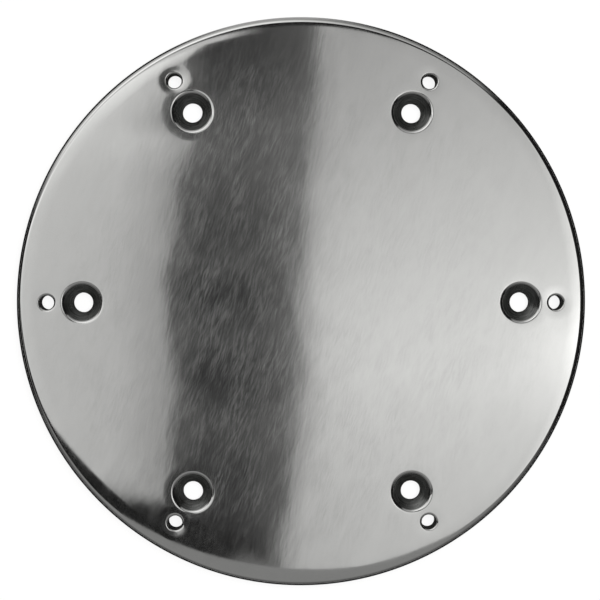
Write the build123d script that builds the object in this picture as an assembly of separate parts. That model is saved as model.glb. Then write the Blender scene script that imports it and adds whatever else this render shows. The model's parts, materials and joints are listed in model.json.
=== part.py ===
"""Round cover plate in polished stainless steel, one solid, in millimetres.

The plate lies on its flat back, with the polished face up. The origin is the centre of the
back face, +Z runs up through the polished face, and +X runs through the first hole of each
circle. Six countersunk bolt holes stand on one circle and six plain screw holes on a wider
one, each screw hole straight outwards from a bolt hole. Buffing has rolled off the margin of
the polished face and rounded each edge that the mop reached; the back is only deburred.
"""

from math import radians, tan
import os

from build123d import *

# Plate
PLATE_DIAMETER = 260.0
PLATE_THICKNESS = 8.0
ROLL_OFF_WIDTH = 8.5  # margin of the polished face that buffing has lowered
ROLL_OFF_DROP = 0.3  # how far the margin falls towards the rim
RIM_RADIUS = 3.0  # rounding between the polished face and the side
BACK_EDGE_CHAMFER = 0.5  # deburring between the side and the back

# Bolt holes, for M8 countersunk screws
BOLT_COUNT = 6
BOLT_TO_SCREW_DISTANCE = 16.0  # from the middle of a bolt hole straight out to its screw hole
BOLT_HOLE_DIAMETER = 9.0
COUNTERSINK_DIAMETER = 18.0  # where the cone would meet the face if its lip were sharp
COUNTERSINK_ANGLE = 90.0  # degrees, the whole cone
COUNTERSINK_LIP_RADIUS = 2.2  # rounding between the face and the cone

# Screw holes, for M6 screws
SCREW_COUNT = 6
SCREW_TO_RIM_DISTANCE = 14.0  # from the middle of a screw hole straight out to the side
SCREW_HOLE_DIAMETER = 6.4
SCREW_LIP_RADIUS = 1.1  # rounding between the face and the hole's wall

HOLE_EXIT_CHAMFER = 0.3  # deburring where each hole leaves the back

PLATE_RADIUS = PLATE_DIAMETER / 2
SCREW_CIRCLE_RADIUS = PLATE_RADIUS - SCREW_TO_RIM_DISTANCE
BOLT_CIRCLE_RADIUS = SCREW_CIRCLE_RADIUS - BOLT_TO_SCREW_DISTANCE
DRILL_OVERRUN = 1.0  # how far a tool stands out of the plate at each end
UPRIGHT = (Align.CENTER, Align.CENTER, Align.MIN)  # a tool that stands on its lower end


def plate_blank():
    """The disc before it is drilled: half a section turned about Z."""
    with BuildSketch(Plane.XZ) as section:
        with BuildLine():
            face = Line((0, PLATE_THICKNESS), (PLATE_RADIUS - ROLL_OFF_WIDTH, PLATE_THICKNESS))
            margin = TangentArc(
                face @ 1, (PLATE_RADIUS, PLATE_THICKNESS - ROLL_OFF_DROP), tangent=face % 1
            )
            Polyline(
                margin @ 1,
                (PLATE_RADIUS, BACK_EDGE_CHAMFER),
                (PLATE_RADIUS - BACK_EDGE_CHAMFER, 0),
                (0, 0),
                face @ 0,
            )
        make_face()
        rim_corner = section.vertices().group_by(Axis.X)[-1].sort_by(Axis.Y)[-1]
        fillet(rim_corner, RIM_RADIUS)
    return revolve(section.sketch, Axis.Z)


def straight_drill(diameter):
    """Drill through the whole plate, with the countersink that deburrs its exit."""
    length = PLATE_THICKNESS + 2 * DRILL_OVERRUN
    drill = Pos(0, 0, -DRILL_OVERRUN) * Cylinder(diameter / 2, length, align=UPRIGHT)
    deburr = Cone(
        diameter / 2 + HOLE_EXIT_CHAMFER, diameter / 2, HOLE_EXIT_CHAMFER, align=UPRIGHT
    )
    return drill + deburr


def countersink():
    """Cone that seats the head of a bolt, with its point down the bolt hole."""
    slope = tan(radians(COUNTERSINK_ANGLE / 2))
    depth = COUNTERSINK_DIAMETER / 2 / slope
    cone = Cone(
        0,
        COUNTERSINK_DIAMETER / 2 + DRILL_OVERRUN * slope,
        depth + DRILL_OVERRUN,
        align=UPRIGHT,
    )
    return Pos(0, 0, PLATE_THICKNESS - depth) * cone


def lips(plate, diameter):
    """The sharp circles of one size that the tools have left in the polished face."""
    in_face = plate.edges().filter_by(GeomType.CIRCLE).group_by(Axis.Z)[-1]
    return in_face.filter_by(lambda edge: abs(edge.radius - diameter / 2) < 0.01)


def cover_plate():
    """The finished plate: blank, holes, then the buffed lips."""
    plate = plate_blank()
    bolt_drill = straight_drill(BOLT_HOLE_DIAMETER) + countersink()
    for place in PolarLocations(BOLT_CIRCLE_RADIUS, BOLT_COUNT):
        plate -= place * bolt_drill
    screw_drill = straight_drill(SCREW_HOLE_DIAMETER)
    for place in PolarLocations(SCREW_CIRCLE_RADIUS, SCREW_COUNT):
        plate -= place * screw_drill
    plate = fillet(lips(plate, COUNTERSINK_DIAMETER), COUNTERSINK_LIP_RADIUS)
    return fillet(lips(plate, SCREW_HOLE_DIAMETER), SCREW_LIP_RADIUS)


os.makedirs("parts", exist_ok=True)
finished = cover_plate()
finished.label = "cover_plate"
export_step(finished, "parts/cover_plate.step")
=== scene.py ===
"""The round cover plate in buffed stainless steel, under a light tent."""

import json
from math import asin, cos, pi, radians, sin, sqrt

import bpy
from mathutils import Matrix, Vector


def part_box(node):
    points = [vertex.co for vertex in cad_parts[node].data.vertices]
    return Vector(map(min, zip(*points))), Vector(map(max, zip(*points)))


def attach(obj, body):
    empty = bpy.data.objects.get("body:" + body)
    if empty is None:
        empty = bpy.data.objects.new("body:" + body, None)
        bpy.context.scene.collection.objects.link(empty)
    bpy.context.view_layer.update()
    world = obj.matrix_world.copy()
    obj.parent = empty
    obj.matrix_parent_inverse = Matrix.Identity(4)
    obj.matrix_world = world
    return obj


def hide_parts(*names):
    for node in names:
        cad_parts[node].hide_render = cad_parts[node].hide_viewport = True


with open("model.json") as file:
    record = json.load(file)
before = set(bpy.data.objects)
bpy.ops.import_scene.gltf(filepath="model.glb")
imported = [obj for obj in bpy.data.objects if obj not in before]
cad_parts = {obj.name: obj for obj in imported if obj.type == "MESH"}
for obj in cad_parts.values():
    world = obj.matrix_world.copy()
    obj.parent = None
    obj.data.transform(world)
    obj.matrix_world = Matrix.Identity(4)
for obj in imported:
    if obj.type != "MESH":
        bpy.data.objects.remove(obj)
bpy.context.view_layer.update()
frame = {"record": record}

bl_info = {
    "name": "Round Cover Plate",
    "version": (1, 0, 0),
    "blender": (4, 5, 0),
    "location": "View3D > Sidebar > Cover Plate",
    "description": "A polished round cover plate with two circles of holes, and its light tent",
    "category": "Object",
}

MM = 0.001
NODE = "cover_plate"
LOW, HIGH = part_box(NODE)
MOUNTS = {mount["name"]: mount["dims"] for mount in frame["record"]["mounts"]}
BOLTS = MOUNTS["bolt_holes"]
SCREWS = MOUNTS["screw_holes"]
PLATE_RADIUS = min(-LOW.x, HIGH.x, -LOW.y, HIGH.y)
PLATE_THICKNESS = HIGH.z - LOW.z

# Which finish a face of the plate has
BUFFED, TURNED, MILLED = range(3)

# How finely each turned shape is swept round, and each stretch of its section is stepped
RIM_SEGMENTS = 720
BOLT_SEGMENTS = 120
SCREW_SEGMENTS = 72
ROLL_OFF_STEPS = 12
RIM_STEPS = 20
DISH_STEPS = 8
LIP_STEPS = 16
CONE_STEPS = 8

MERGE_DISTANCE = 0.002 * MM
SHARP_FOLD = radians(20)  # a fold past this is an edge, and under it the skin is shaded smooth
SUPPORT_RING = 0.12 * MM  # flat ring beside a rounding, which keeps the face's shading flat

# Buffed dishes: the hole's circle, the lip's edge, the dish's edge and its slope at the lip
BUFFED_DISHES = (
    (BOLTS, 10.2 * MM, 14.0 * MM, 0.016),
    (SCREWS, 4.6 * MM, 8.5 * MM, 0.03),
)

# Nearly all noise lies between these
NOISE_SPAN = (0.3, 0.7)

# Buffed steel: how rough its mirror is, and how rough the scratches make the haze over it
MIRROR_ROUGHNESS = (0.045, 0.075)
HAZE_ROUGHNESS = 0.27
LEAST_HAZE = 0.02

# The mop's loose edge has worn the scratches down, more and more between these two
# distances in from the rim, and this share of them is left there
WORN_MARGIN = (38 * MM, 10 * MM)
SCRATCHES_LEFT = 0.22

# Turned steel: the rings' spacing, their depth, and their roughness
RING_SPACING = 0.35 * MM
RING_DEPTH = 0.03 * MM
TURNED_ROUGHNESS = (0.24, 0.36)

# Milled steel: the grain's width, the skin's depth, and its roughness
GRAIN_WIDTH = 0.4 * MM
SKIN_DEPTH = 0.012 * MM
MILLED_ROUGHNESS = (0.36, 0.5)


# Sizes and colours that a user would change


def length(name, description, default, **more):
    """A property that holds a length in metres."""
    return bpy.props.FloatProperty(
        name=name,
        description=description,
        default=default,
        min=0.0,
        subtype="DISTANCE",
        unit="LENGTH",
        precision=5,
        **more,
    )


def colour(name, description, hex_value):
    """A property that holds an sRGB colour as a hex string."""
    return bpy.props.StringProperty(name=name, description=description, default=hex_value)


class PlateSizes(bpy.types.PropertyGroup):
    """Sizes of the plate's buffed roundings and its holes."""

    roll_off_width: length(
        "Roll-off Width", "Margin of the face that buffing has lowered", 8.5 * MM
    )
    roll_off_drop: length("Roll-off Drop", "How far the margin falls to the rim", 0.3 * MM)
    rim_radius: length("Rim Radius", "Rounding between the face and the side", 3.0 * MM)
    back_chamfer: length("Back Chamfer", "Deburring round the back", 0.5 * MM)
    countersink: length(
        "Countersink", "Width of the countersink, were its lip sharp", 18.0 * MM
    )
    countersink_lip: length("Countersink Lip", "Rounding of the countersink's lip", 2.2 * MM)
    screw_lip: length("Screw Hole Lip", "Rounding of the screw hole's lip", 1.1 * MM)
    exit_chamfer: length("Exit Chamfer", "Deburring of each hole at the back", 0.3 * MM)
    dish_width: length("Dish Width", "Ring round each lip that buffing has dished", 0.35 * MM)
    dish_drop: length("Dish Drop", "How far that ring falls to the lip", 0.005 * MM)


class PlateFinish(bpy.types.PropertyGroup):
    """Colours of the three finishes."""

    buffed: colour("Buffed Steel", "Face and rim, mopped to a mirror", "#CECECC")
    turned: colour("Turned Steel", "Countersinks, as the cutter left them", "#9B9C9A")
    milled: colour("Milled Steel", "Back and bores, as rolled and drilled", "#BDBDBA")


class StageSettings(bpy.types.PropertyGroup):
    """Floor and camera."""

    floor: colour("Floor", "Pale floor under the plate", "#F4F4F2")
    lens: bpy.props.FloatProperty(
        name="Lens", description="Focal length in millimetres", default=85.69, min=1.0
    )
    camera_place: bpy.props.FloatVectorProperty(
        name="Camera",
        description="Where the camera stands",
        default=(-0.015, 0.015, 0.658),
        subtype="TRANSLATION",
        unit="LENGTH",
    )
    camera_aim: bpy.props.FloatVectorProperty(
        name="Aim",
        description="The point that the camera looks at",
        default=(-0.00095, 0.00107, 0.004),
        subtype="TRANSLATION",
        unit="LENGTH",
    )


# Colours and nodes


def linear(hex_value):
    """An sRGB hex colour as linear RGBA."""
    channels = [int(hex_value[i : i + 2], 16) / 255 for i in (1, 3, 5)]
    return [
        c / 12.92 if c <= 0.04045 else ((c + 0.055) / 1.055) ** 2.4 for c in channels
    ] + [1.0]


def add(tree, kind, settings=None, inputs=None):
    """Adds a node with its settings; an input is a value or an output socket to link."""
    node = tree.nodes.new(kind)
    for name, value in (settings or {}).items():
        setattr(node, name, value)
    for key, value in (inputs or {}).items():
        if isinstance(value, bpy.types.NodeSocket):
            tree.links.new(value, node.inputs[key])
        else:
            node.inputs[key].default_value = value
    return node


def new_material(name):
    """An empty node material and its tree."""
    material = bpy.data.materials.new(name)
    material.use_nodes = True
    material.node_tree.nodes.clear()
    return material, material.node_tree


def object_place(tree):
    """Place in metres in the object's own frame."""
    return add(tree, "ShaderNodeTexCoord").outputs["Object"]


def axes(tree, vector):
    """The vector's X, Y and Z."""
    return add(tree, "ShaderNodeSeparateXYZ", None, {"Vector": vector}).outputs


def noise(tree, vector, scale, detail, roughness):
    """Noise between 0 and 1, mostly near a half."""
    return add(
        tree,
        "ShaderNodeTexNoise",
        {"noise_dimensions": "3D"},
        {"Vector": vector, "Scale": scale, "Detail": detail, "Roughness": roughness},
    ).outputs["Fac"]


def streaks(tree, place, lean, width, run, detail=2.0, offset=0.0):
    """Noise drawn out into streaks of that width and run in metres, lean degrees off +Y."""
    laid = add(
        tree,
        "ShaderNodeMapping",
        {"vector_type": "TEXTURE"},
        {
            "Vector": place,
            "Location": (offset, offset, 0.0),
            "Rotation": (0.0, 0.0, -radians(lean)),
            "Scale": (width, run, run),
        },
    )
    return noise(tree, laid.outputs[0], scale=1.0, detail=detail, roughness=0.55)


def ranged(tree, value, low, high, to_low, to_high):
    """The value's range turned into another, clamped."""
    node = add(
        tree,
        "ShaderNodeMapRange",
        {"clamp": True},
        {0: value, 1: low, 2: high, 3: to_low, 4: to_high},
    )
    return node.outputs[0]


def faded(tree, value, span):
    """0 at one end of the span and 1 at the other."""
    return ranged(tree, value, *span, 0.0, 1.0)


def arithmetic(tree, operation, a, b=0.0, c=0.0):
    """One sum of a Math node."""
    return add(tree, "ShaderNodeMath", {"operation": operation}, {0: a, 1: b, 2: c}).outputs[0]


def angle_round(tree, split):
    """Angle of a place round +Z, from +X in radians."""
    return arithmetic(tree, "ARCTAN2", split["Y"], split["X"])


def distance(tree, x, y):
    """Distance of (x, y) from the origin."""
    spot = add(tree, "ShaderNodeCombineXYZ", None, {"X": x, "Y": y}).outputs[0]
    return add(
        tree, "ShaderNodeVectorMath", {"operation": "LENGTH"}, {0: spot}
    ).outputs["Value"]


def relief(tree, height, scale, normal=None):
    """A bump: height times scale, in metres, over another bump's normal if there is one."""
    inputs = {"Strength": 1.0, "Distance": scale, "Height": height}
    if normal:
        inputs["Normal"] = normal
    return add(tree, "ShaderNodeBump", None, inputs).outputs[0]


def metal(tree, colour_or_socket, roughness, normal):
    """Bare metal, which keeps the default index of refraction."""
    return add(
        tree,
        "ShaderNodeBsdfPrincipled",
        None,
        {
            "Base Color": colour_or_socket,
            "Metallic": 1.0,
            "Roughness": roughness,
            "Normal": normal,
        },
    ).outputs[0]


def tinted(tree, value, span, hex_value, shade):
    """The colour, falling to that shade of itself where the value reaches the span's end."""
    bright = linear(hex_value)
    dull = [shade * c for c in bright[:3]] + [1.0]
    return add(
        tree,
        "ShaderNodeMix",
        {"data_type": "RGBA"},
        {"Factor": faded(tree, value, span), "A": bright, "B": dull},
    ).outputs["Result"]


def mixed(tree, share, a, b):
    """Shader a, with that share of it given over to shader b."""
    return add(tree, "ShaderNodeMixShader", None, {0: share, 1: a, 2: b}).outputs[0]


def surface(tree, shader):
    """Sends the shader to the material's output."""
    add(tree, "ShaderNodeOutputMaterial", None, {"Surface": shader})


def dishes(tree, place):
    """Height in metres of the shallow dishes that the mop has sunk round the holes."""
    split = axes(tree, place)
    sector = 2 * pi / BOLTS["count"]
    folded = arithmetic(tree, "WRAP", angle_round(tree, split), sector / 2, -sector / 2)
    radius = distance(tree, split["X"], split["Y"])
    out = arithmetic(tree, "MULTIPLY", radius, arithmetic(tree, "COSINE", folded))
    side = arithmetic(tree, "MULTIPLY", radius, arithmetic(tree, "SINE", folded))
    height = 0.0
    for circle, inner, reach, slope in BUFFED_DISHES:
        along = arithmetic(tree, "SUBTRACT", out, circle["pcd_mm"] / 2 * MM)
        away = distance(tree, along, side)
        share = ranged(tree, away, 0.0, reach, reach / (reach - inner), 0.0)
        depth = arithmetic(tree, "MULTIPLY", share, share)
        height = arithmetic(tree, "MULTIPLY_ADD", depth, -slope * (reach - inner) / 2, height)
    return height


def buffed_steel(finish):
    """Stainless steel, type 304, cut down on a sisal mop and then coloured on a cotton one.

    To the eye it is a near mirror with slow ripples in its reflections. Fine lean scratches
    scatter a little light, so they show as a haze where it reflects something dark.
    """
    material, tree = new_material("Buffed Stainless Steel")
    place = object_place(tree)

    # Mop lines are some 20 microns wide; 0.5 mm is drawn, so that they show at all
    lines = streaks(tree, place, lean=17.0, width=0.5 * MM, run=5.0 * MM)
    cross_lines = streaks(tree, place, lean=34.0, width=0.6 * MM, run=6.0 * MM, offset=0.3)
    clouds = streaks(tree, place, lean=20.0, width=8.0 * MM, run=18.0 * MM, offset=0.7)
    ripple = streaks(tree, place, lean=12.0, width=3.5 * MM, run=14.0 * MM, offset=1.3)
    cross_ripple = streaks(tree, place, lean=46.0, width=3.0 * MM, run=16.0 * MM, offset=1.9)
    swell = streaks(tree, place, lean=0.0, width=26.0 * MM, run=34.0 * MM, detail=1.0, offset=2.1)

    # Where the noise of either set of lines runs high there is a scratch, with that much haze
    scratches = arithmetic(
        tree,
        "ADD",
        ranged(tree, lines, 0.40, 0.64, 0.0, 0.24),
        ranged(tree, cross_lines, 0.45, 0.7, 0.0, 0.10),
    )
    patches = ranged(tree, clouds, 0.36, 0.64, 0.45, 1.3)
    split = axes(tree, place)
    radius = distance(tree, split["X"], split["Y"])
    inward, outward = (PLATE_RADIUS - margin for margin in WORN_MARGIN)
    worn = ranged(tree, radius, inward, outward, 1.0, SCRATCHES_LEFT)
    scratched = arithmetic(tree, "MULTIPLY", scratches, worn)
    haze = arithmetic(tree, "MULTIPLY_ADD", scratched, patches, LEAST_HAZE)
    colour_socket = tinted(tree, clouds, NOISE_SPAN, finish.buffed, shade=0.975)

    # Each bump lies over the one before, with its height from top to bottom
    normal = relief(tree, dishes(tree, place), scale=1.0)
    for bump, height in (
        (swell, 0.06 * MM),
        (ripple, 0.007 * MM),
        (cross_ripple, 0.002 * MM),
        (lines, 0.0005 * MM),
    ):
        normal = relief(tree, bump, height, normal)
    roughness = ranged(tree, clouds, *NOISE_SPAN, *MIRROR_ROUGHNESS)
    mirror = metal(tree, colour_socket, roughness, normal)
    scatter = metal(tree, colour_socket, HAZE_ROUGHNESS, normal)
    surface(tree, mixed(tree, haze, mirror, scatter))
    return material


def turned_steel(finish):
    """The same steel as a countersink cutter leaves it: rings of feed marks, dull and darker.

    The feed is about 0.1 mm a turn; the rings are drawn 0.35 mm apart, so that they show.
    """
    material, tree = new_material("Turned Stainless Steel")
    around = add(tree, "ShaderNodeAttribute", {"attribute_name": "hole_place"})
    split = axes(tree, around.outputs["Vector"])
    angle = angle_round(tree, split)
    depth = arithmetic(tree, "DIVIDE", split["Z"], RING_SPACING)
    along = add(
        tree,
        "ShaderNodeCombineXYZ",
        None,
        {"X": arithmetic(tree, "SINE", angle), "Y": arithmetic(tree, "COSINE", angle), "Z": depth},
    )
    rings = noise(tree, along.outputs[0], scale=1.0, detail=2.0, roughness=0.6)
    smears = streaks(tree, object_place(tree), lean=35.0, width=2.5 * MM, run=5.0 * MM)
    colour_socket = tinted(tree, rings, (0.36, 0.62), finish.turned, shade=0.4)
    roughness = ranged(tree, smears, *NOISE_SPAN, *TURNED_ROUGHNESS)
    surface(tree, metal(tree, colour_socket, roughness, relief(tree, rings, RING_DEPTH)))
    return material


def milled_steel(finish):
    """The same steel with its rolled and pickled mill skin: grey, matt, with a faint grain.

    Mill grain is 20 to 50 microns across; 0.4 mm is drawn, with the roll's long faint lines.
    """
    material, tree = new_material("Mill Finish Stainless Steel")
    place = object_place(tree)
    grain = noise(tree, place, scale=1 / GRAIN_WIDTH, detail=3.0, roughness=0.6)
    roll_lines = streaks(tree, place, lean=90.0, width=0.8 * MM, run=60.0 * MM)
    half_grain = arithmetic(tree, "MULTIPLY", grain, 0.5)
    skin = arithmetic(tree, "MULTIPLY_ADD", roll_lines, 0.5, half_grain)
    colour_socket = tinted(tree, roll_lines, NOISE_SPAN, finish.milled, shade=0.88)
    roughness = ranged(tree, grain, *NOISE_SPAN, *MILLED_ROUGHNESS)
    surface(tree, metal(tree, colour_socket, roughness, relief(tree, skin, SKIN_DEPTH)))
    return material


# Turned shapes: each is a section of (radius, height) points swept round +Z


def rounding(centre, radius, start, end, steps):
    """Points of an arc in the section; its angles lean from +Z towards +radius, in radians."""
    turn = (end - start) / steps
    return [
        (
            centre[0] + radius * sin(start + turn * i),
            centre[1] + radius * cos(start + turn * i),
        )
        for i in range(steps + 1)
    ]


def turned_mesh(name, section, finishes, segments):
    """The section swept round +Z, with each stretch's finish and every point's own place."""
    vertices = []
    for radius, height in section:
        for i in range(segments):
            angle = 2 * pi * i / segments
            vertices.append((radius * cos(angle), radius * sin(angle), height))
    faces, finish_of = [], []
    for ring in range(len(section) - 1):
        for i in range(segments):
            j = (i + 1) % segments
            first = ring * segments
            second = first + segments
            faces.append((first + i, second + i, second + j, first + j))
            finish_of.append(finishes[ring])
    mesh = bpy.data.meshes.new(name)
    mesh.from_pydata(vertices, [], faces)
    mesh.attributes.new("finish", "INT", "FACE").data.foreach_set("value", finish_of)
    places = [c for vertex in vertices for c in vertex]
    mesh.attributes.new("hole_place", "FLOAT_VECTOR", "POINT").data.foreach_set("vector", places)
    made = bpy.data.objects.new(name, mesh)
    bpy.context.scene.collection.objects.link(made)
    return made


def rim_section(sizes):
    """From the edge of the flat face, over the roll-off and the rounding, to the flat back."""
    width, drop, radius = sizes.roll_off_width, sizes.roll_off_drop, sizes.rim_radius
    inner = PLATE_RADIUS - width
    sweep = (width**2 + drop**2) / (2 * drop)
    sweep_centre = (inner, PLATE_THICKNESS - sweep)
    reach = PLATE_RADIUS - radius - inner
    rise = sqrt((sweep - radius) ** 2 - reach**2)
    round_centre = (PLATE_RADIUS - radius, sweep_centre[1] + rise)
    join = asin(reach / (sweep - radius))
    section = [(inner - SUPPORT_RING, PLATE_THICKNESS)]
    section += rounding(sweep_centre, sweep, 0.0, join, ROLL_OFF_STEPS)
    section += rounding(round_centre, radius, join, pi / 2, RIM_STEPS)[1:]
    section += [(PLATE_RADIUS, sizes.back_chamfer), (PLATE_RADIUS - sizes.back_chamfer, 0.0)]
    finishes = [BUFFED] * (len(section) - 2) + [MILLED]
    return section, finishes


def hole_section(sizes, bore, lip, seat_angle, cone_width=None):
    """From the flat face, over the dish and the lip, down the cone if any, and the bore.

    The seat's angle is how steep the wall under the lip is: 45 degrees for a cone, else 90.
    """
    width, drop = sizes.dish_width, sizes.dish_drop
    slope = 2 * drop / width
    top = PLATE_THICKNESS - drop
    lip_height = top + lip * (cos(seat_angle) - cos(slope))
    if cone_width:
        seat_radius = cone_width / 2 - (PLATE_THICKNESS - lip_height)
    else:
        seat_radius = bore
    start = seat_radius + lip * (sin(seat_angle) - sin(slope))
    outer = start + width
    section = [(outer + SUPPORT_RING, PLATE_THICKNESS)]
    for i in range(DISH_STEPS + 1):
        share = i / DISH_STEPS
        section.append((outer - width * share, PLATE_THICKNESS - drop * share**2))
    centre = (start + lip * sin(slope), top - lip * cos(slope))
    section += rounding(centre, lip, -slope, -seat_angle, LIP_STEPS)[1:]
    finishes = [BUFFED] * (len(section) - 1)
    if cone_width:
        foot = lip_height - (seat_radius - bore)
        for i in range(1, CONE_STEPS + 1):
            share = i / CONE_STEPS
            section.append(
                (
                    seat_radius + (bore - seat_radius) * share,
                    lip_height + (foot - lip_height) * share,
                )
            )
            finishes.append(TURNED)
    section += [(bore, sizes.exit_chamfer), (bore + sizes.exit_chamfer, 0.0)]
    finishes += [MILLED, MILLED]
    return section, finishes


# The drilled plate's node tree


def plate_tree(materials):
    """Two circles of holes, a face and a back cut to fit them, and a rim, merged into one skin."""
    tree = bpy.data.node_groups.new("Drilled Plate", "GeometryNodeTree")
    tree.is_modifier = True
    inputs = {
        "Rim": "NodeSocketObject",
        "Bolt Hole": "NodeSocketObject",
        "Screw Hole": "NodeSocketObject",
        "Bolt Count": "NodeSocketInt",
        "Screw Count": "NodeSocketInt",
        "Bolt Circle Radius": "NodeSocketFloat",
        "Screw Circle Radius": "NodeSocketFloat",
        "Face Radius": "NodeSocketFloat",
        "Bolt Opening": "NodeSocketFloat",
        "Screw Opening": "NodeSocketFloat",
        "Back Radius": "NodeSocketFloat",
        "Bolt Exit": "NodeSocketFloat",
        "Screw Exit": "NodeSocketFloat",
        "Thickness": "NodeSocketFloat",
    }
    tree.interface.new_socket("Geometry", in_out="INPUT", socket_type="NodeSocketGeometry")
    for name, kind in inputs.items():
        tree.interface.new_socket(name, in_out="INPUT", socket_type=kind)
    tree.interface.new_socket("Geometry", in_out="OUTPUT", socket_type="NodeSocketGeometry")
    given = add(tree, "NodeGroupInput").outputs

    def hole_points(count, radius):
        return add(
            tree,
            "GeometryNodeMeshCircle",
            None,
            {"Vertices": given[count], "Radius": given[radius]},
        ).outputs[0]

    def repeated(points, shape):
        return add(
            tree, "GeometryNodeInstanceOnPoints", None, {"Points": points, "Instance": shape}
        ).outputs[0]

    def ring(radius, segments):
        return add(
            tree,
            "GeometryNodeCurvePrimitiveCircle",
            {"mode": "RADIUS"},
            {"Resolution": segments, "Radius": given[radius]},
        ).outputs[0]

    def shape_of(name):
        held = add(tree, "GeometryNodeObjectInfo", None, {"Object": given[name]})
        return held.outputs["Geometry"]

    def joined(*parts):
        join = add(tree, "GeometryNodeJoinGeometry")
        for part in parts:
            tree.links.new(part, join.inputs[0])
        return join.outputs[0]

    bolt_points = hole_points("Bolt Count", "Bolt Circle Radius")
    screw_points = hole_points("Screw Count", "Screw Circle Radius")

    def drilled_sheet(outer, bolt_opening, screw_opening):
        """A flat sheet with round openings where the holes come."""
        outline = joined(
            ring(outer, RIM_SEGMENTS),
            repeated(bolt_points, ring(bolt_opening, BOLT_SEGMENTS)),
            repeated(screw_points, ring(screw_opening, SCREW_SEGMENTS)),
        )
        real = add(tree, "GeometryNodeRealizeInstances", None, {"Geometry": outline}).outputs[0]
        return add(
            tree, "GeometryNodeFillCurve", {"mode": "TRIANGLES"}, {"Curve": real}
        ).outputs[0]

    def marked(geometry, finish):
        return add(
            tree,
            "GeometryNodeStoreNamedAttribute",
            {"data_type": "INT", "domain": "FACE"},
            {"Geometry": geometry, "Name": "finish", "Value": finish},
        ).outputs[0]

    raised = add(tree, "ShaderNodeCombineXYZ", None, {"Z": given["Thickness"]}).outputs[0]
    face = add(
        tree,
        "GeometryNodeTransform",
        None,
        {
            "Geometry": drilled_sheet("Face Radius", "Bolt Opening", "Screw Opening"),
            "Translation": raised,
        },
    ).outputs[0]
    back = add(
        tree,
        "GeometryNodeFlipFaces",
        None,
        {"Mesh": drilled_sheet("Back Radius", "Bolt Exit", "Screw Exit")},
    ).outputs[0]
    skin = joined(
        marked(face, BUFFED),
        marked(back, MILLED),
        shape_of("Rim"),
        repeated(bolt_points, shape_of("Bolt Hole")),
        repeated(screw_points, shape_of("Screw Hole")),
    )
    real = add(tree, "GeometryNodeRealizeInstances", None, {"Geometry": skin}).outputs[0]
    merged = add(
        tree,
        "GeometryNodeMergeByDistance",
        None,
        {"Geometry": real, "Distance": MERGE_DISTANCE},
    ).outputs[0]
    smooth = add(
        tree,
        "GeometryNodeSetShadeSmooth",
        {"domain": "FACE"},
        {"Geometry": merged, "Shade Smooth": True},
    ).outputs[0]
    fold = add(tree, "GeometryNodeInputMeshEdgeAngle").outputs["Unsigned Angle"]
    sharp = add(
        tree, "FunctionNodeCompare", {"operation": "GREATER_THAN"}, {0: fold, 1: SHARP_FOLD}
    ).outputs[0]
    shaded = add(
        tree,
        "GeometryNodeSetShadeSmooth",
        {"domain": "EDGE"},
        {"Geometry": smooth, "Selection": sharp, "Shade Smooth": False},
    ).outputs[0]
    finish = add(
        tree, "GeometryNodeInputNamedAttribute", {"data_type": "INT"}, {"Name": "finish"}
    ).outputs[0]
    for number, material in enumerate(materials):
        chosen = add(
            tree,
            "FunctionNodeCompare",
            {"data_type": "INT", "operation": "EQUAL"},
            {2: finish, 3: number},
        ).outputs[0]
        shaded = add(
            tree,
            "GeometryNodeSetMaterial",
            None,
            {"Geometry": shaded, "Selection": chosen, "Material": material},
        ).outputs[0]
    add(tree, "NodeGroupOutput", None, {0: shaded})
    return tree


def baked(name, tree, values):
    """Runs a node tree on an empty mesh and keeps the result as a plain mesh object."""
    maker = bpy.data.objects.new(name, bpy.data.meshes.new(name))
    bpy.context.scene.collection.objects.link(maker)
    modifier = maker.modifiers.new("Shape", "NODES")
    modifier.node_group = tree
    for item in tree.interface.items_tree:
        if item.item_type == "SOCKET" and item.in_out == "INPUT" and item.name in values:
            modifier[item.identifier] = values[item.name]
    maker.update_tag()
    evaluated = maker.evaluated_get(bpy.context.evaluated_depsgraph_get())
    mesh = bpy.data.meshes.new_from_object(evaluated)
    maker.modifiers.clear()
    maker.data = mesh
    mesh.name = name
    return maker


class COVERPLATE_OT_plate(bpy.types.Operator):
    """Make the drilled plate with its buffed, turned and milled steel"""

    bl_idname = "cover_plate.make_plate"
    bl_label = "Drilled Plate"

    def execute(self, context):
        sizes = context.scene.plate_sizes
        finish = context.scene.plate_finish
        materials = [buffed_steel(finish), turned_steel(finish), milled_steel(finish)]
        bolt_bore = BOLTS["hole_r_mm"] * MM
        screw_bore = SCREWS["hole_r_mm"] * MM
        rim, rim_finish = rim_section(sizes)
        bolt, bolt_finish = hole_section(
            sizes, bolt_bore, sizes.countersink_lip, pi / 4, sizes.countersink
        )
        screw, screw_finish = hole_section(sizes, screw_bore, sizes.screw_lip, pi / 2)
        shapes = {
            "Rim": turned_mesh("rim_shape", rim, rim_finish, RIM_SEGMENTS),
            "Bolt Hole": turned_mesh("bolt_shape", bolt[::-1], bolt_finish[::-1], BOLT_SEGMENTS),
            "Screw Hole": turned_mesh(
                "screw_shape", screw[::-1], screw_finish[::-1], SCREW_SEGMENTS
            ),
        }
        values = {
            **shapes,
            "Bolt Count": BOLTS["count"],
            "Screw Count": SCREWS["count"],
            "Bolt Circle Radius": BOLTS["pcd_mm"] / 2 * MM,
            "Screw Circle Radius": SCREWS["pcd_mm"] / 2 * MM,
            "Face Radius": rim[0][0],
            "Bolt Opening": bolt[0][0],
            "Screw Opening": screw[0][0],
            "Back Radius": rim[-1][0],
            "Bolt Exit": bolt[-1][0],
            "Screw Exit": screw[-1][0],
            "Thickness": PLATE_THICKNESS,
        }
        plate = baked("plate", plate_tree(materials), values)
        for shape in shapes.values():
            bpy.data.objects.remove(shape)
        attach(plate, "root")
        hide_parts(NODE)
        return {"FINISHED"}


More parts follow.
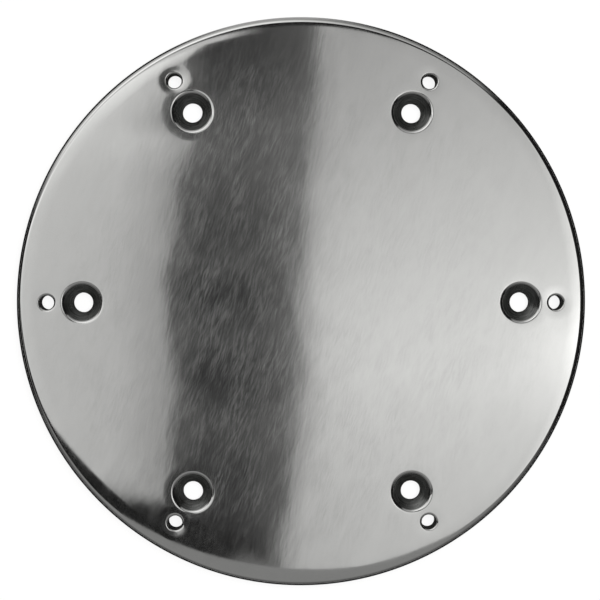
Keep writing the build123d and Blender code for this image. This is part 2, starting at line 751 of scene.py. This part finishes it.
# The stage: a floor, a light tent that only the steel sees, one soft lamp and the camera

FLOOR_REACH = 4.0  # half the floor's width
FLOOR_DROP = 0.1 * MM  # from the plate's back down to the floor
FLOOR_OWN_WHITE = 0.86  # the rest of the floor's look is real light, which gives the shadow
MAT_REACH = 0.34  # half the mat's width
LAMP_PLACE = Vector((0.25, 0.2, 1.5))
LAMP_WIDTH = 1.4
LAMP_POWER = 26.0
WORLD_LIGHT = 0.35  # how bright the white surroundings are as a light
NEAREST_SEEN = 0.01  # the camera's near limit


def square(reach, height):
    """Corners of a level square round the Z axis."""
    return [(x * reach, y * reach, height) for x, y in ((-1, -1), (1, -1), (1, 1), (-1, 1))]


def stage_mesh(name, vertices, faces, material):
    """A stage piece that isn't part of the plate."""
    mesh = bpy.data.meshes.new(name)
    mesh.from_pydata(vertices, [], faces)
    mesh.materials.append(material)
    made = bpy.data.objects.new(name, mesh)
    bpy.context.scene.collection.objects.link(made)
    return made


def only_in_reflections(piece):
    """The piece shows in the steel, and neither to the camera nor to the floor."""
    piece.visible_camera = False
    piece.visible_diffuse = False
    piece.visible_shadow = False
    piece.visible_transmission = False


def shine(tree, colour_or_socket):
    """A shader that gives out light of that colour."""
    return add(
        tree, "ShaderNodeEmission", None, {"Color": colour_or_socket, "Strength": 1.0}
    ).outputs[0]


def seen_directly(tree):
    """1 for rays from the camera and for reflections and glass, and 0 for the rest."""
    path = add(tree, "ShaderNodeLightPath").outputs
    mirrored = arithmetic(tree, "MAXIMUM", path["Is Glossy Ray"], path["Is Transmission Ray"])
    return arithmetic(tree, "MAXIMUM", path["Is Camera Ray"], mirrored)


def floor_material(stage):
    """Matt white card: mostly its own white, with a share of real light for the shadow."""
    material, tree = new_material("White Floor Card")
    card = add(tree, "ShaderNodeBsdfDiffuse", None, {"Color": linear(stage.floor)}).outputs[0]
    share = arithmetic(tree, "MULTIPLY", seen_directly(tree), FLOOR_OWN_WHITE)
    surface(tree, mixed(tree, share, card, shine(tree, (1, 1, 1, 1))))
    return material


def ramp(tree, value, stops):
    """A smooth grey ramp; a stop is (place, brightness)."""
    node = add(tree, "ShaderNodeValToRGB", None, {"Fac": value})
    elements = node.color_ramp.elements
    while len(elements) < len(stops):
        elements.new(0.5)  # the loop below sets its place
    for element, (place, level) in zip(elements, stops):
        element.position = place
        element.color = (level, level, level, 1.0)
    return node.outputs["Color"]


# The tent, with places in metres: the silk lies at SKY_HEIGHT, and the cards stand round it
SKY_HEIGHT = 1.35
WALL_RADIUS = 1.6
WALL_SEGMENTS = 96
SILK_LEAN = 2.5  # degrees that the dark strip is turned from +Y
SILK_RIGHT = 0.66  # the silk ends here towards +X
GAP_FRONT = 0.452  # a dark gap lies behind the silk, from here
GAP_BACK = 0.72  # to here
GAP_LEFT = (-0.5, -0.1)  # and it fades in from the left
EDGE = 0.010  # softness of the silk's edges
BLACK = 0.012  # brightness of black velvet

# The hot spot on the silk: a line that runs from here to +X, and how far its light reaches
SPOT_PLACE = (0.42, -0.095)
SPOT_REACH = 0.17
SPOT_LEVEL = 0.4

# Stray light falls on the strip between these edges, which are that soft
SPILL_EDGES = (-0.14, 0.025)
SPILL_SOFT = (0.02, 0.03)

# Across the strip, where the left edge's wander and the left fall give way to the right ones
WANDER_BLEND = (-0.13, 0.03)
FALL_BLEND = (-0.05, 0.08)

# The left of the strip stops short of the silk's back edge, and plain silk shows there
STRIP_BACK = 0.398
UNCOVERED_ACROSS = (-0.06, -0.12)
UNCOVERED_LEVEL = 0.8

# Black cards before the silk's front edge: where each fades in, across and along the strip
LEFT_CARD_ACROSS = (-0.02, -0.12)
LEFT_CARD_ALONG = (-0.333, -0.350)
LEFT_CARD_SLANT = 0.2
MIDDLE_CARD_ACROSS = (0.025, -0.03)
MIDDLE_CARD_ALONG = (-0.335, -0.375)

# The wall keeps the first share of the cards' brightness up to this height, and the second
# under the silk
WALL_DIM_HEIGHT = 0.3
WALL_SHARES = (0.35, 0.85)

# The light at the top of the left card: how far round it starts and is full, in degrees either
# way from +X, and its height with its edge's softness
LEFT_LIGHT_TURN = (156.0, 164.0)
LEFT_LIGHT_HEIGHT = 1.2
LEFT_LIGHT_SOFT = 0.2
LEFT_LIGHT_LEVEL = 0.8

# The mat's lighter side, as an angle from +X, and how far round it fades
MAT_LIGHT_TURN = radians(95)
MAT_LIGHT_FADE = (radians(8), radians(22))
MAT_LIGHT_LEVEL = 0.5

# Brightness of the silk from -X to +X in metres; a dark strip hangs near the middle
SILK_STOPS = (
    (-0.85, 0.95),
    (-0.42, 0.82),
    (-0.32, 0.755),
    (-0.235, 0.72),
    (-0.2075, 0.66),
    (-0.18, 0.56),
    (-0.154, 0.47),
    (-0.144, 0.07),
    (-0.105, 0.03),
    (-0.035, 0.044),
    (0.010, 0.09),
    (0.031, 0.17),
    (0.043, 0.55),
    (0.072, 0.88),
    (0.135, 0.96),
    (0.255, 1.03),
    (0.425, 1.06),
    (0.47, 1.2),
    (0.56, 1.45),
)

# How far each edge of the strip wanders to +X, from -Y to +Y in metres
STRIP_LEFT = (
    (-0.37, 0.0),
    (-0.29, 0.008),
    (-0.21, 0.002),
    (-0.16, 0.009),
    (-0.09, 0.002),
    (-0.045, -0.005),
    (0.0, -0.013),
    (0.06, -0.002),
    (0.11, -0.003),
    (0.145, -0.004),
    (0.176, 0.012),
    (0.196, 0.03),
    (0.208, -0.012),
    (0.226, -0.03),
    (0.252, -0.02),
    (0.276, -0.003),
    (0.33, 0.0),
)
STRIP_RIGHT = (
    (-0.37, -0.022),
    (-0.31, -0.014),
    (-0.25, -0.009),
    (-0.19, -0.001),
    (-0.13, 0.0),
    (-0.06, -0.007),
    (0.0, -0.013),
    (0.06, -0.008),
    (0.12, -0.012),
    (0.16, -0.001),
    (0.21, -0.004),
    (0.26, 0.006),
    (0.35, 0.004),
)

# Stray light on the strip, from -Y to +Y in metres
STRIP_SPILL = (
    (-0.37, 0.0),
    (-0.26, 0.015),
    (-0.2, 0.05),
    (-0.13, 0.0),
    (-0.08, 0.045),
    (-0.02, 0.002),
    (0.03, 0.045),
    (0.08, 0.03),
    (0.14, 0.07),
    (0.21, 0.075),
    (0.26, 0.03),
    (0.31, 0.0),
)

# Where the silk's front edge lies, from -X to +X in metres
FRONT_STOPS = (
    (-0.5, -0.45),
    (-0.26, -0.416),
    (-0.12, -0.41),
    (-0.05, -0.392),
    (0.03, -0.41),
    (0.12, -0.45),
    (0.32, -0.448),
    (0.5, -0.42),
)

# How the silk's light falls off or rises from -Y to +Y in metres, left and right of the strip
LEFT_FALL = (
    (-0.42, 0.98),
    (-0.1, 0.98),
    (0.1, 1.03),
    (0.15, 1.06),
    (0.2, 1.18),
    (0.25, 1.3),
    (0.32, 1.5),
    (0.45, 1.9),
)
RIGHT_FALL = (
    (-0.41, 0.76),
    (-0.305, 0.83),
    (-0.204, 0.95),
    (-0.13, 1.04),
    (-0.054, 1.0),
    (0.047, 0.9),
    (0.147, 0.79),
    (0.247, 0.68),
    (0.32, 0.62),
    (0.5, 0.55),
)

# Brightness of the cards round the silk, by their angle from +X in degrees
ROUND_STOPS = (
    (-180, 0.02),
    (-162, 0.02),
    (-152, 0.26),
    (-130, 0.31),
    (-60, 0.31),
    (-45, 0.24),
    (-32, 0.12),
    (-25, 0.02),
    (44, 0.02),
    (50, 0.45),
    (62, 0.55),
    (78, 0.7),
    (95, 1.25),
    (115, 1.5),
    (148, 1.4),
    (156, 0.6),
    (164, 0.02),
    (180, 0.02),
)


def metric_ramp(tree, value, stops):
    """A ramp whose stops are given in the value's own units."""
    low, high = stops[0][0], stops[-1][0]
    share = faded(tree, value, (low, high))
    return ramp(tree, share, [((at - low) / (high - low), level) for at, level in stops])


def signed_ramp(tree, value, stops):
    """The same for levels below zero, which a ramp's own colours can't hold."""
    raised = metric_ramp(tree, value, [(at, level + 1.0) for at, level in stops])
    return arithmetic(tree, "SUBTRACT", raised, 1.0)


def step(tree, value, at, softness=EDGE):
    """0 below a place and 1 above it, with an edge that soft."""
    over = arithmetic(tree, "SUBTRACT", value, at)
    return faded(tree, over, (-softness / 2, softness / 2))


def product(tree, *factors):
    """All the factors multiplied."""
    result = factors[0]
    for factor in factors[1:]:
        result = arithmetic(tree, "MULTIPLY", result, factor)
    return result


def opposite(tree, share):
    """1 less the share."""
    return arithmetic(tree, "SUBTRACT", 1.0, share)


def blend(tree, factor, a, b):
    """Value a mixed with value b."""
    return add(tree, "ShaderNodeMix", None, {0: factor, 2: a, 3: b}).outputs[0]


def degrees_round(tree, split):
    """The angle round +Z in degrees."""
    return arithmetic(tree, "DIVIDE", angle_round(tree, split), radians(1))


def across_strip(tree, place, split):
    """Place across the silk, with the strip's lean and the wander of its edges taken out."""
    turned = add(
        tree,
        "ShaderNodeMapping",
        {"vector_type": "TEXTURE"},
        {"Vector": place, "Rotation": (0.0, 0.0, -radians(SILK_LEAN))},
    )
    straight = axes(tree, turned.outputs[0])["X"]
    wander = blend(
        tree,
        faded(tree, straight, WANDER_BLEND),
        signed_ramp(tree, split["Y"], STRIP_LEFT),
        signed_ramp(tree, split["Y"], STRIP_RIGHT),
    )
    return arithmetic(tree, "SUBTRACT", straight, wander)


def hot_spot(tree, split):
    """Light of the lamp behind the silk."""
    short_of = arithmetic(tree, "SUBTRACT", split["X"], SPOT_PLACE[0])
    beside = arithmetic(tree, "SUBTRACT", split["Y"], SPOT_PLACE[1])
    away = distance(tree, arithmetic(tree, "MINIMUM", short_of, 0.0), beside)
    near = ranged(tree, away, 0.0, SPOT_REACH, 1.0, 0.0)
    return arithmetic(tree, "MULTIPLY", arithmetic(tree, "POWER", near, 2.0), SPOT_LEVEL)


def spill(tree, across, split):
    """Stray light on the strip."""
    left_edge = step(tree, across, SPILL_EDGES[0], SPILL_SOFT[0])
    right_edge = step(tree, across, SPILL_EDGES[1], SPILL_SOFT[1])
    along = metric_ramp(tree, split["Y"], STRIP_SPILL)
    return product(tree, left_edge, opposite(tree, right_edge), along)


def front_cards(tree, across, split):
    """1 where the black cards hang before the silk's front edge."""
    slanted = arithmetic(tree, "MULTIPLY_ADD", split["X"], LEFT_CARD_SLANT, split["Y"])
    left = product(
        tree, faded(tree, slanted, LEFT_CARD_ALONG), faded(tree, across, LEFT_CARD_ACROSS)
    )
    middle = product(
        tree, faded(tree, split["Y"], MIDDLE_CARD_ALONG), faded(tree, across, MIDDLE_CARD_ACROSS)
    )
    return arithmetic(tree, "MAXIMUM", left, middle)


def silk_light(tree, place, split):
    """Brightness of the silk: a gradient, its dark strip with uneven edges, and one hot spot."""
    across = across_strip(tree, place, split)
    fall = blend(
        tree,
        faded(tree, across, FALL_BLEND),
        metric_ramp(tree, split["Y"], LEFT_FALL),
        metric_ramp(tree, split["Y"], RIGHT_FALL),
    )
    level = product(tree, metric_ramp(tree, across, SILK_STOPS), fall)
    level = arithmetic(tree, "ADD", level, hot_spot(tree, split))
    level = arithmetic(tree, "ADD", level, spill(tree, across, split))
    uncovered = product(
        tree, step(tree, split["Y"], STRIP_BACK), faded(tree, across, UNCOVERED_ACROSS)
    )
    level = blend(tree, uncovered, level, UNCOVERED_LEVEL)
    return blend(tree, front_cards(tree, across, split), level, BLACK)


def overhead_material():
    """A silk over the plate, lit unevenly, with a dark strip across it and cards round it."""
    material, tree = new_material("Overhead Silk")
    place = object_place(tree)
    split = axes(tree, place)
    surround = metric_ramp(tree, degrees_round(tree, split), ROUND_STOPS)
    past_gap = step(tree, split["Y"], GAP_BACK)
    inside = product(
        tree,
        step(tree, split["Y"], signed_ramp(tree, split["X"], FRONT_STOPS)),
        opposite(tree, step(tree, split["X"], SILK_RIGHT)),
        opposite(tree, past_gap),
    )
    gap = product(
        tree,
        step(tree, split["Y"], GAP_FRONT),
        opposite(tree, past_gap),
        faded(tree, split["X"], GAP_LEFT),
    )
    lit = blend(tree, inside, surround, silk_light(tree, place, split))
    surface(tree, shine(tree, blend(tree, gap, lit, BLACK)))
    return material


def wall_material():
    """The cards' lower parts, dimmer towards the floor; the left one is lit at its top."""
    material, tree = new_material("Tent Wall")
    split = axes(tree, object_place(tree))
    turn = degrees_round(tree, split)
    surround = metric_ramp(tree, turn, ROUND_STOPS)
    dimmer = ranged(tree, split["Z"], WALL_DIM_HEIGHT, SKY_HEIGHT, *WALL_SHARES)
    left = faded(tree, arithmetic(tree, "ABSOLUTE", turn), LEFT_LIGHT_TURN)
    top = product(tree, left, step(tree, split["Z"], LEFT_LIGHT_HEIGHT, LEFT_LIGHT_SOFT))
    level = blend(tree, top, product(tree, surround, dimmer), LEFT_LIGHT_LEVEL)
    surface(tree, shine(tree, level))
    return material


def mat_material():
    """Black velvet laid on the floor for the steel alone, which draws its lower edges dark."""
    material, tree = new_material("Black Velvet")
    angle = angle_round(tree, axes(tree, object_place(tree)))
    off_light = arithmetic(tree, "ABSOLUTE", arithmetic(tree, "SUBTRACT", angle, MAT_LIGHT_TURN))
    level = ranged(tree, off_light, *MAT_LIGHT_FADE, MAT_LIGHT_LEVEL, BLACK)
    surface(tree, shine(tree, level))
    return material


def make_tent():
    """The silk, the wall under its cards and the mat below, which only the steel sees."""
    silk = stage_mesh(
        "overhead_silk", square(WALL_RADIUS, SKY_HEIGHT), [(3, 2, 1, 0)], overhead_material()
    )
    corners, faces = [], []
    for i in range(WALL_SEGMENTS):
        angle = 2 * pi * i / WALL_SEGMENTS
        x, y = WALL_RADIUS * cos(angle), WALL_RADIUS * sin(angle)
        corners += [(x, y, 0.0), (x, y, SKY_HEIGHT)]
        j = (i + 1) % WALL_SEGMENTS
        faces.append((2 * i + 1, 2 * j + 1, 2 * j, 2 * i))
    wall = stage_mesh("tent_wall", corners, faces, wall_material())
    mat = stage_mesh(
        "mat", square(MAT_REACH, LOW.z - FLOOR_DROP / 2), [(0, 1, 2, 3)], mat_material()
    )
    for piece in (silk, wall, mat):
        only_in_reflections(piece)


def look(place, aim):
    """The matrix of a camera or lamp at place that looks at aim, with +Y up in its view."""
    back = (place - aim).normalized()
    right = Vector((0.0, 1.0, 0.0)).cross(back).normalized()
    up = back.cross(right)
    turn = Matrix((right, up, back)).transposed().to_4x4()
    return Matrix.Translation(place) @ turn


def make_lamp(scene):
    """One soft lamp over the plate, which the steel doesn't mirror."""
    lamp = bpy.data.objects.new("soft_lamp", bpy.data.lights.new("soft_lamp", "AREA"))
    lamp.data.shape = "DISK"
    lamp.data.size = LAMP_WIDTH
    lamp.data.energy = LAMP_POWER
    lamp.matrix_world = look(LAMP_PLACE, Vector((0, 0, 0)))
    lamp.visible_glossy = False
    scene.collection.objects.link(lamp)


def make_world(scene):
    """White surroundings, dimmer where they light the floor."""
    world = bpy.data.worlds.new("studio")
    world.use_nodes = True
    tree = world.node_tree
    tree.nodes.clear()
    level = ranged(tree, seen_directly(tree), 0.0, 1.0, WORLD_LIGHT, 1.0)
    background = add(tree, "ShaderNodeBackground", None, {"Color": level})
    add(tree, "ShaderNodeOutputWorld", None, {"Surface": background.outputs[0]})
    scene.world = world


def make_camera(scene, stage):
    """The camera over the plate."""
    camera = bpy.data.objects.new("camera", bpy.data.cameras.new("camera"))
    camera.data.lens = stage.lens
    camera.data.clip_start = NEAREST_SEEN
    camera.matrix_world = look(Vector(stage.camera_place), Vector(stage.camera_aim))
    scene.collection.objects.link(camera)
    scene.camera = camera


class COVERPLATE_OT_stage(bpy.types.Operator):
    """Make the floor, the light tent, the lamp and the camera"""

    bl_idname = "cover_plate.make_stage"
    bl_label = "Stage"

    def execute(self, context):
        scene = context.scene
        stage = scene.plate_stage
        stage_mesh(
            "floor",
            square(FLOOR_REACH, LOW.z - FLOOR_DROP),
            [(0, 1, 2, 3)],
            floor_material(stage),
        )
        make_tent()
        make_lamp(scene)
        make_world(scene)
        make_camera(scene, stage)
        scene.view_settings.view_transform = "Standard"
        return {"FINISHED"}


class COVERPLATE_PT_panel(bpy.types.Panel):
    """The plate's sizes, finishes and stage in the sidebar."""

    bl_idname = "COVERPLATE_PT_panel"
    bl_label = "Cover Plate"
    bl_space_type = "VIEW_3D"
    bl_region_type = "UI"
    bl_category = "Cover Plate"

    def draw(self, context):
        scene = context.scene
        for group, operator in (
            (scene.plate_sizes, COVERPLATE_OT_plate),
            (scene.plate_finish, None),
            (scene.plate_stage, COVERPLATE_OT_stage),
        ):
            box = self.layout.box()
            for name in group.__annotations__:
                box.prop(group, name)
            if operator:
                box.operator(operator.bl_idname)


CLASSES = (
    PlateSizes,
    PlateFinish,
    StageSettings,
    COVERPLATE_OT_plate,
    COVERPLATE_OT_stage,
    COVERPLATE_PT_panel,
)


def register():
    for cls in CLASSES:
        bpy.utils.register_class(cls)
    bpy.types.Scene.plate_sizes = bpy.props.PointerProperty(type=PlateSizes)
    bpy.types.Scene.plate_finish = bpy.props.PointerProperty(type=PlateFinish)
    bpy.types.Scene.plate_stage = bpy.props.PointerProperty(type=StageSettings)


def unregister():
    del bpy.types.Scene.plate_stage
    del bpy.types.Scene.plate_finish
    del bpy.types.Scene.plate_sizes
    for cls in reversed(CLASSES):
        bpy.utils.unregister_class(cls)


def main():
    register()
    bpy.ops.cover_plate.make_plate()
    bpy.ops.cover_plate.make_stage()


if __name__ == "__main__":
    main()
